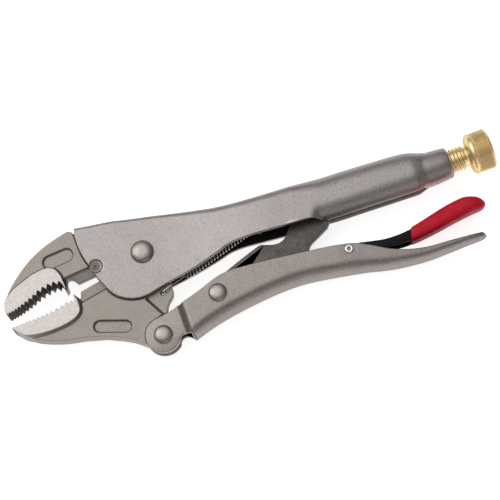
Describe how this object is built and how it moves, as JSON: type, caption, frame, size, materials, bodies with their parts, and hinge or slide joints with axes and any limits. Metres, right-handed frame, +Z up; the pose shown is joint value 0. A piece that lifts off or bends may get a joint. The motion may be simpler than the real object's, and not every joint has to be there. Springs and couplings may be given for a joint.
{
  "type": "locking pliers",
  "caption": "Curved-jaw locking pliers with wire cutter, toggle linkage, knurled adjusting screw, tension spring and red-tipped release lever.",
  "frame": {"origin": "Centre of the underside of the bounding box, with the tool lying on its side on the surface", "axes": "+X along the fixed handle from the jaws to the adjusting knob, +Y from the moving handle to the back of the fixed handle, +Z up through the thickness"},
  "size_m": [0.2494, 0.0752, 0.02],
  "materials": {
    "handle_steel": "satin nickel plate over sand-blasted steel, fine speckle",
    "moving_handle_steel": "satin nickel plate over sand-blasted steel, fine speckle",
    "jaw_steel": "satin nickel plate over forged steel, toothed pads ground bright",
    "rivet_steel": "smooth satin nickel domes",
    "link_steel": "dark oiled steel",
    "lever_black": "black oxide, slightly glossy",
    "red_vinyl": "dipped red vinyl, soft gloss, fine pebble",
    "bright_nickel": "bright nickel",
    "screw_brass": "yellow zinc plate, satin",
    "spring_steel": "bare drawn wire"
  },
  "bodies": {
    "fixed_frame": {"fixed_handle": "handle_steel", "fixed_jaw": "jaw_steel", "fixed_jaw_rivet": "rivet_steel", "jaw_pivot_rivet": "rivet_steel", "spring_anchor": "link_steel", "return_spring": "spring_steel"},
    "jaw": {"moving_jaw": "jaw_steel"},
    "handle": {"moving_handle": "moving_handle_steel", "moving_handle_rivet": "rivet_steel", "link_rivet": "rivet_steel", "release_lever_pin": "bright_nickel"},
    "link": {"toggle_link": "link_steel"},
    "lever": {"release_lever": "lever_black", "release_lever_grip": "red_vinyl"},
    "screw": {"adjusting_screw": "screw_brass"},
    "knob": {"adjusting_knob": "screw_brass"}
  },
  "joints": [
    {"name": "jaw_pivot", "type": "hinge", "parent": "fixed_frame", "child": "jaw", "pos_m": [-0.05233, 0.01393, 0.01], "axis": [0, 0, 1], "range_deg": [0, 16], "deforming": ["return_spring"]},
    {"name": "handle_pivot", "type": "hinge", "parent": "jaw", "child": "handle", "pos_m": [-0.05573, -0.02877, 0.01], "axis": [0, 0, 1], "range_deg": [-53.6, 0]},
    {"name": "link_pivot", "type": "hinge", "parent": "handle", "child": "link", "pos_m": [-0.02433, -0.01927, 0.01], "axis": [0, 0, 1], "range_deg": [0, 57.6]},
    {"name": "release_lever_pivot", "type": "hinge", "parent": "handle", "child": "lever", "pos_m": [0.04217, -0.02097, 0.01], "axis": [0, 0, 1], "range_deg": [-7, 0]},
    {"name": "screw_travel", "type": "slide", "parent": "fixed_frame", "child": "screw", "axis": [1, 0, 0], "range_m": [0, 0.014]},
    {"name": "knob_turn", "type": "hinge", "parent": "screw", "child": "knob", "pos_m": [0.11867, 0.00563, 0.01], "axis": [1, 0, 0], "range_deg": [0, 2880.1]}
  ],
  "couplings": [
    {"joint": "handle_pivot", "follows": "jaw_pivot", "ratio": -3.35},
    {"joint": "link_pivot", "follows": "jaw_pivot", "ratio": 3.6},
    {"joint": "knob_turn", "follows": "screw_travel", "rad_per_m": 3590.4}
  ]
}
